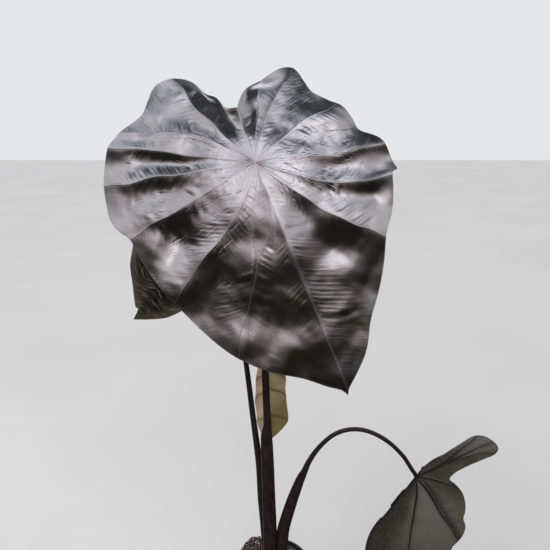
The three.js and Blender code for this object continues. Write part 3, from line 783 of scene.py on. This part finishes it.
def leaf_piece(node, leaf, looks, spokes, rings, fine="upper", past_midrib=None):
    """A closed blade whose fine side has every ring and the other every second one. looks are those of the
    upper face, the underside and, with past_midrib, the underside past the rib of that count."""
    angle, distance, share = leaf_grid(leaf, spokes, rings)
    count = len(angle)
    points, order, width = surface(leaf, angle, distance, share)
    joint = placed(leaf, np.zeros(1), np.zeros(1), np.zeros(1))
    upper = np.concatenate([joint, points.reshape(-1, 3)])
    size = len(upper)
    fan, quads = ring_faces(count, rings, 1)
    normals = point_normals(upper, (fan, quads[:, :3], quads[:, [0, 2, 3]]))
    order, width, distance, share = (np.append(0, v.ravel()) for v in (order, width, distance, share))
    off = np.abs(order - np.round(order)) * width
    keel = KEEL_DEPTH * (1 - 0.75 * share) * np.exp(-((off / (2 - share)) ** 2))
    keel *= np.minimum(1, distance / 12)
    thick = BLADE_THICKNESS * (1 - 0.45 * share**6)
    under = upper - normals * (thick + keel * (share < 0.99))[:, None]

    groups = []
    for side, look, start in (("upper", 0, 0), ("under", 1, size)):
        for faces in ring_faces(count, rings, 1 if side == fine else 2):
            groups.append((start + (faces if side == "upper" else faces[:, ::-1]), look))
    i = np.arange(count)
    after = (i + 1) % count
    groups.append((2 * size + np.stack([i, count + i, count + after, after], 1), 1))
    edge = rings * (i + 1)
    source = np.concatenate([np.arange(size), np.arange(size), edge, edge])

    rib_count = len(leaf["ribs"])
    faces, face_looks, ribs_map, ways_map = [], [], [], []
    for group, look in groups:
        faces += group.tolist()
        at = source[group]
        turns = order[at]
        chosen = np.full(len(group), look)
        if past_midrib and look == 1:
            chosen[np.median(turns, axis=1) > past_midrib] = 2
        face_looks.append(chosen)
        turns = np.where(turns < turns.max(1, keepdims=True) - rib_count / 2, turns + rib_count, turns)
        if group.shape[1] == 3:
            centre = at == 0
            outer = np.where(centre, 0, turns).sum(1, keepdims=True) / 2
            turns = np.where(centre, outer, turns)
        ribs_map.append(np.stack([turns, width[at] / MAP_SCALE], -1).reshape(-1, 2))
        ways_map.append(np.stack([distance[at] / MAP_SCALE, share[at]], -1).reshape(-1, 2))
    points = np.concatenate([upper, under, upper[edge], under[edge]])
    maps = {"ribs": np.concatenate(ribs_map), "ways": np.concatenate(ways_map)}
    return make_piece(node + "_dressed", points, faces, looks, np.concatenate(face_looks), maps, node)


def tube_faces(bands, sides):
    """Quads of a tube whose rings of points follow each other."""
    a = np.arange(bands)[:, None] * sides + np.arange(sides)
    b = np.arange(bands)[:, None] * sides + (np.arange(sides) + 1) % sides
    return np.stack([a, b, b + sides, a + sides], -1).reshape(-1, 4)


def centripetal(rows, t):
    """Points of a centripetal Catmull-Rom curve through rows, with t from 0 to 1."""
    p = np.asarray(rows, float)
    p = np.concatenate([[2 * p[0] - p[1]], p, [2 * p[-1] - p[-2]]])
    n = len(rows)
    s = t * (n - 1)
    i = np.minimum(np.floor(s).astype(int), n - 2)
    w = (s - i)[:, None]
    p0, p1, p2, p3 = (p[i + k] for k in range(4))
    steps = (p1 - p0, p2 - p1, p3 - p2)
    d0, d1, d2 = (np.linalg.norm(step, axis=1, keepdims=True) ** 0.5 for step in steps)
    t1 = ((p1 - p0) / d0 - (p2 - p0) / (d0 + d1) + (p2 - p1) / d1) * d1
    t2 = ((p2 - p1) / d1 - (p3 - p1) / (d1 + d2) + (p3 - p2) / d2) * d1
    return p1 + t1 * w + (-3 * p1 + 3 * p2 - 2 * t1 - t2) * w**2 + (2 * p1 - 2 * p2 + t1 + t2) * w**3


def stalk_piece(node, stalk, leaf, look, sides=40, steps=9):
    """A tapered stalk with the lip of its sheath, cut off flat within the blade at the leaf's joint."""
    out = leaf_axes(leaf)[2]
    joint = np.array(leaf["joint"], float)
    rows = np.array([*stalk["points"], (*(joint + out * stalk["top"]), stalk["top"], 0)])
    count = (len(rows) - 1) * steps
    t = np.arange(count + 1) / count
    middle = centripetal(rows[:, :3], t)
    ahead = np.gradient(middle, axis=0)
    ahead /= np.linalg.norm(ahead, axis=1, keepdims=True)
    ahead[0] = (0, 0, 1)
    shape = catmull(rows[:, 3:], t * (len(rows) - 1))
    length = np.append(0, np.cumsum(np.linalg.norm(np.diff(middle, axis=0), axis=1)))
    turn = 2 * np.pi * np.arange(sides) / sides
    lip = np.radians(stalk["lip_side"])
    near = np.maximum(0, np.cos(turn - lip))
    from_lip = (turn - lip + np.pi) % (2 * np.pi) - np.pi
    side = np.array([1.0, 0, 0])
    points = []
    for k in range(count + 1):
        side = side - ahead[k] * side.dot(ahead[k])
        side /= np.linalg.norm(side)
        back = np.cross(ahead[k], side)
        rise = max(0, shape[k, 1])
        r = shape[k, 0] + rise * near**2 + 0.5 * np.exp(-((from_lip / 0.16) ** 2)) * min(1, rise)
        points.append(middle[k] + np.outer(r * np.cos(turn), side) + np.outer(r * np.sin(turn), back))
    points = np.array(points)
    past = np.maximum(0, (points - joint) @ out + 0.5 * BLADE_THICKNESS)
    points -= past[..., None] * out
    ends = [list(range(sides))[::-1], [count * sides + k for k in range(sides)]]
    faces = tube_faces(count, sides).tolist() + ends
    around = np.arange(sides) / sides + 0.5 - stalk["lip_side"] / 360
    around = np.where(around > 1, around - 1, around)
    low = np.tile(around, (count, 1))
    high = low + 1 / sides
    ups = np.repeat(length[:, None] / MAP_SCALE, sides, 1)
    corners = np.stack([low, ups[:-1], high, ups[:-1], high, ups[1:], low, ups[1:]], -1)
    maps = {"turns": np.concatenate([corners.reshape(-1, 2), np.zeros((2 * sides, 2))])}
    return make_piece(node + "_dressed", points.reshape(-1, 3), faces, [look], None, maps, node)


def lathe(profile, sides):
    """Points and faces of a profile of (radius, height) turned about Z."""
    profile = np.array(profile, float)
    turn = 2 * np.pi * np.arange(sides) / sides
    points = np.stack([np.outer(profile[:, 0], np.cos(turn)), np.outer(profile[:, 0], np.sin(turn)),
                       np.repeat(profile[:, 1:], sides, 1)], -1).reshape(-1, 3)
    return points, tube_faces(len(profile) - 1, sides)


def wall_radius(z):
    return POT_BASE_RADIUS + (POT_RIM_RADIUS - RIM_BAND_STEP - POT_BASE_RADIUS) * z / POT_HEIGHT


def arc(middle, radius, start, end, count=5):
    """Points of a rounded corner: start and end are angles in degrees in the (radius, height) plane."""
    turn = np.radians(np.linspace(start, end, count))
    return [(middle[0] + radius * np.cos(a), middle[1] + radius * np.sin(a)) for a in turn]


def pot_piece(look):
    band = POT_HEIGHT - RIM_BAND_HEIGHT
    base, rim = POT_BASE_RADIUS, POT_RIM_RADIUS
    inner = wall_radius(POT_FLOOR) - POT_WALL
    profile = [
        (0.01, 0), (base - 9, 0), (base - 8, 0.5), (base - 5, 0.5), (base - 4, 0),
        *arc((base - 1.5, 1.5), 1.5, -90, 0),
        (wall_radius(band) - 0.05, band - 0.6), (wall_radius(band) + 0.3, band),
        *arc((rim - 1, band + 1), 1, -90, 0),
        (rim, band + 3), (rim - 0.15, band + 3.4), (rim - 0.15, POT_HEIGHT - 4), (rim, POT_HEIGHT - 3.4),
        *arc((rim - 0.9, POT_HEIGHT - 0.9), 0.9, 0, 90),
        *arc((rim - 2.3, POT_HEIGHT - 0.9), 0.9, 90, 180),
        (inner + 0.8, POT_FLOOR + 3), (inner, POT_FLOOR + 0.6), (inner - 0.8, POT_FLOOR), (0.01, POT_FLOOR),
    ]
    points, faces = lathe(profile, 144)
    pot = make_piece("pot_dressed", points, faces.tolist(), [look], replaced="pot")
    cutters = []
    for i in range(DRAIN_SLOTS):
        turn = 2 * np.pi * (i + 0.5) / DRAIN_SLOTS
        mesh = bpy.data.meshes.new("cutter")
        mesh.from_pydata((CUBE * DRAIN_SLOT_HALF * MM).tolist(), [], CUBE_FACES.tolist())
        place = Vector((base * np.cos(turn), base * np.sin(turn), DRAIN_SLOT_HEIGHT)) * MM
        cutter = add_object("cutter", mesh, place, (0, 0, turn))
        cut = pot.modifiers.new("slot", "BOOLEAN")
        cut.object = cutter
        cut.solver = "EXACT"
        cutters.append(cutter)
    bpy.context.view_layer.update()
    cut_mesh = bpy.data.meshes.new_from_object(pot.evaluated_get(bpy.context.evaluated_depsgraph_get()))
    pot.modifiers.clear()
    pot.data = cut_mesh
    for cutter in cutters:
        bpy.data.objects.remove(cutter)
    return pot


def soil_height(x, y):
    heap = SOIL_TOP_LAYER
    for at_x, at_y, high, spread in SOIL_HEAPS:
        heap = heap + high * np.exp(-((x - at_x) ** 2 + (y - at_y) ** 2) / (2 * spread**2))
    grain = np.sin(x * 0.9 + 3 * np.sin(y * 0.37)) * np.cos(y * 0.8 - 2 * np.sin(x * 0.31))
    fine = np.sin(x * 2.3 + 2 * np.sin(y * 1.7)) * np.cos(y * 2.1 - 2 * np.sin(x * 1.3))
    edge = np.clip((SOIL_RADIUS - np.hypot(x, y)) / 1.6, 0, 1)
    return SOIL_LEVEL + edge * (heap + 1.1 * grain + 0.7 * fine)


def soil_piece(look):
    rings, sides = 70, 220
    turn = 2 * np.pi * np.arange(sides) / sides
    share = np.linspace(0.01, 1, rings)[:, None]
    x, y = SOIL_RADIUS * share * np.cos(turn), SOIL_RADIUS * share * np.sin(turn)
    top = np.stack([x, y, soil_height(x, y)], -1).reshape(-1, 3)
    foot = np.full(sides, POT_FLOOR + 0.3)
    low = np.stack([SOIL_FOOT_RADIUS * np.cos(turn), SOIL_FOOT_RADIUS * np.sin(turn), foot], -1)
    points = np.concatenate([top, low])
    faces = tube_faces(rings, sides)[:, ::-1].tolist()
    faces.append(list(range(sides)))
    faces.append([rings * sides + k for k in range(sides)][::-1])
    return make_piece("soil_dressed", points, faces, [look], replaced="soil")


def chips_piece(looks):
    """Bark chips, crumbs and perlite that lie on the mix, sunk a little into it."""
    rng = np.random.default_rng(SEED)
    gold = (1 + 5**0.5) / 2
    ball = np.array([(-1, gold, 0), (1, gold, 0), (-1, -gold, 0), (1, -gold, 0),
                     (0, -1, gold), (0, 1, gold), (0, -1, -gold), (0, 1, -gold),
                     (gold, 0, -1), (gold, 0, 1), (-gold, 0, -1), (-gold, 0, 1)])
    ball /= np.linalg.norm(ball[0])
    ball_faces = np.array([(0, 11, 5), (0, 5, 1), (0, 1, 7), (0, 7, 10), (0, 10, 11), (1, 5, 9), (5, 11, 4),
                           (11, 10, 2), (10, 7, 6), (7, 1, 8), (3, 9, 4), (3, 4, 2), (3, 2, 6), (3, 6, 8),
                           (3, 8, 9), (4, 9, 5), (2, 4, 11), (6, 2, 10), (8, 6, 7), (9, 8, 1)])
    kinds = [
        (3600, CUBE, CUBE_FACES, (0.35, 1.2), (1.0, 0.8, 0.5), 0),
        (800, CUBE, CUBE_FACES, (0.6, 2.0), (1.0, 0.6, 0.4), 1),
        (1500, CUBE, CUBE_FACES, (0.4, 1.2), (1.0, 0.8, 0.6), 2),
        (1500, ball, ball_faces, (0.4, 1.15), (1.0, 0.9, 0.8), 3),
    ]
    points, faces, face_looks = [], [], []
    start = 0
    for count, shape, shape_faces, sizes, form, look in kinds:
        for _ in range(count):
            r = CHIPS_RADIUS * rng.uniform() ** 0.5
            a = rng.uniform(0, 2 * np.pi)
            x, y = r * np.cos(a), r * np.sin(a)
            if ((x - CORM_AT[0]) / CHIPS_GAP[0]) ** 2 + ((y - CORM_AT[1]) / CHIPS_GAP[1]) ** 2 < 1:
                continue
            size = rng.uniform(*sizes) * rng.uniform(0.6, 1)
            local = shape * np.array(form) * size * rng.uniform(0.75, 1.25, shape.shape)
            spin = np.array(Euler(rng.uniform(-0.9, 0.9, 2).tolist() + [rng.uniform(0, 6.3)]).to_matrix())
            local = local @ spin.T
            points.append(local + (x, y, float(soil_height(x, y)) + 0.25 * size))
            faces += (shape_faces + start).tolist()
            face_looks += [look] * len(shape_faces)
            start += len(shape)
    points = np.concatenate(points)
    return make_piece("mix_chips", points, faces, looks, face_looks, smooth=False)


def corm_piece(look):
    profile = [(0.01, -CORM_HEIGHT), (0.45, -CORM_HEIGHT * 0.93), (0.85, -CORM_HEIGHT * 0.66),
               (1, -CORM_HEIGHT * 0.36), (0.98, -CORM_HEIGHT * 0.12), (0.9, -0.6), (0.8, 0.3), (0.01, 0.4)]
    fine = catmull(profile, np.linspace(0, len(profile) - 1, 60))
    fine[:, 0] = np.maximum(fine[:, 0], 0.005)
    points, faces = lathe(fine, 96)
    turn = np.arctan2(points[:, 1], points[:, 0])
    ridges = 1 - 0.02 * np.abs(np.sin(points[:, 2] * 0.5)) + 0.012 * np.sin(17 * turn + points[:, 2] * 0.2)
    points[:, 0] = points[:, 0] * ridges * CORM_HALF_WIDTH + CORM_AT[0]
    points[:, 1] = points[:, 1] * ridges * CORM_HALF_DEPTH + CORM_AT[1]
    points[:, 2] = np.minimum(points[:, 2], 0.4) + CORM_TOP
    return make_piece("corm_dressed", points, faces.tolist(), [look], replaced="corm")


# Looks

under_dark = under_look(
    "underside_dark", (0.046, 0.046, 0.036), (0.10, 0.097, 0.080), (0.012, 0.006, 0.009), 0.42)
# Painted sheen and painted shade are laid on the sectors after rib 5 of this underside
under_green = under_look(
    "underside_green", (0.040, 0.039, 0.026), (0.088, 0.083, 0.060), (0.010, 0.005, 0.006), 0.36,
    bold=5, lines=0.15)
under_fading = under_look(
    "underside_fading", (0.14, 0.105, 0.022), (0.26, 0.235, 0.075), (0.07, 0.025, 0.015), 0.45,
    glow=0.15, cream=(0.46, 0.38, 0.20))
under_tan = under_look(
    "underside_tan", (0.36, 0.26, 0.17), (0.58, 0.44, 0.31), (0.13, 0.05, 0.03), 0.45, glow=0.1, lines=1.0)
black = upper_look(
    "upper_black", (0.005, 0.004, 0.005), (0.006, 0.007, 0.004), (0.020, 0.014, 0.023), 0.20,
    (2.3, 0.95, (0.95, 0.90, 0.94)), 0.05, bold=8)
# The pale arcs on this leaf are painted reflections, and its margin a painted backlit glow
maroon = upper_look(
    "upper_maroon", (0.010, 0.007, 0.005), (0.030, 0.024, 0.018), (0.03, 0.018, 0.018), 0.36,
    (1.7, 0.6, (1.0, 0.93, 0.88)), 0.16, lines=0.9)
green_black = upper_look(
    "upper_green_black", (0.02, 0.022, 0.018), (0.03, 0.034, 0.024), (0.05, 0.03, 0.04), 0.28,
    (1.7, 0.7), 0.05)
faded = upper_look(
    "upper_faded", (0.16, 0.14, 0.04), (0.22, 0.2, 0.06), (0.08, 0.04, 0.04), 0.4, (1.5, 0.5), 0.05)
stalk = stalk_look()

leaf_piece("leaf_front", FRONT_LEAF, [black, under_dark], 600, 104)
leaf_piece("leaf_rear", REAR_LEAF, [maroon, under_dark], 320, 60)
leaf_piece("leaf_right", RIGHT_LEAF, [green_black, under_green], 420, 80, fine="under")
leaf_piece("leaf_folded", FOLDED_LEAF, [faded, under_fading, under_tan], 320, 60,
           fine="under", past_midrib=7)
stalk_piece("petiole_front", FRONT_STALK, FRONT_LEAF, stalk)
stalk_piece("petiole_right", RIGHT_STALK, RIGHT_LEAF, stalk)
stalk_piece("petiole_rear", REAR_STALK, REAR_LEAF, stalk)
stalk_piece("petiole_folded", FOLDED_STALK, FOLDED_LEAF, stalk)

pot_piece(pot_look())
soil_piece(grain_look("mix", (0.012, 0.008, 0.006), (0.06, 0.038, 0.027), 260.0, 0.95))
chips_piece([
    grain_look("crumbs", (0.012, 0.009, 0.007), (0.07, 0.045, 0.034), 300.0, 0.95),
    grain_look("bark", (0.08, 0.030, 0.018), (0.24, 0.10, 0.065), 180.0, 0.85),
    grain_look("grit", (0.05, 0.045, 0.042), (0.22, 0.2, 0.19), 300.0, 0.8),
    grain_look("perlite", (0.55, 0.54, 0.5), (0.8, 0.79, 0.76), 500.0, 0.9),
])
corm_piece(grain_look("corm", (0.025, 0.016, 0.013), (0.075, 0.05, 0.04), 120.0, 0.8))

# Floor, light and camera

floor_look = Look("floor")
patches = floor_look.step(floor_look.noise(1.5, 4.0), 0.3, 0.7)
floor_tone = floor_look.mix(patches, (0.70, 0.69, 0.67), (0.74, 0.73, 0.71))
floor_look.finish(Base_Color=floor_tone, Roughness=0.9)
mesh = bpy.data.meshes.new("floor")
mesh.from_pydata([(-12, -12, 0), (12, -12, 0), (12, 12, 0), (-12, 12, 0)], [], [(0, 1, 2, 3)])
mesh.materials.append(floor_look.material)
floor = add_object("floor", mesh)
floor.visible_glossy = False

lamp = bpy.data.lights.new("key", "AREA")
lamp.size = 1.2
lamp.energy = 14
lamp.color = (1.0, 0.98, 0.97)
aim = Vector(KEY_LIGHT_AIM) - Vector(KEY_LIGHT_AT)
key_light = add_object("key", lamp, KEY_LIGHT_AT, aim.to_track_quat("-Z", "Y").to_euler())
key_light.visible_glossy = False

world = bpy.data.worlds.new("studio")
bpy.context.scene.world = world
world.use_nodes = True
sky = Nodes(world.node_tree)
direction = sky.node("ShaderNodeTexCoord")
sideways, _, upward = sky.split(direction)
clouds = sky.noise(1.6, 1.0, direction, rough=0.5)
spread = sky.node("ShaderNodeMapRange", clouds, 0.35, 0.65, 0.8, 1.15)
for low, high, start, end in SKY_SIDES:
    spread = sky.times(spread, sky.step(sideways, low, high, start, end))
tones = sky.node("ShaderNodeValToRGB", upward)
ramp = tones.node.color_ramp
ramp.interpolation = "EASE"
for k, (at, tone) in enumerate(SKY_TONES):
    element = ramp.elements[k] if k in (0, 1) else ramp.elements.new(at)
    element.position = at
    element.color = (*tone, 1)
mirrored = sky.tree.nodes["Background"]
sky.put(mirrored.inputs[0], sky.mix(1.0, tones, spread, "MULTIPLY"))
mirrored.inputs[1].default_value = SKY_STRENGTH
seen = sky.node("ShaderNodeBackground", SEEN_TONE, 1.0)
is_camera_ray = sky.node("ShaderNodeLightPath")
both = sky.node("ShaderNodeMixShader", is_camera_ray, mirrored.outputs[0], seen)
sky.put(sky.tree.nodes["World Output"].inputs[0], both)

camera_data = bpy.data.cameras.new("camera")
camera_data.sensor_width = 36
camera_data.lens = camera_data.sensor_width * FOCAL_LENGTH / PICTURE_WIDTH
tilt = np.pi / 2 - np.arctan2(FOCAL_LENGTH, UPRIGHTS_MEET)
bpy.context.scene.camera = add_object("camera", camera_data, CAMERA_AT, (tilt, 0, 0))
bpy.context.scene.view_settings.view_transform = "Standard"
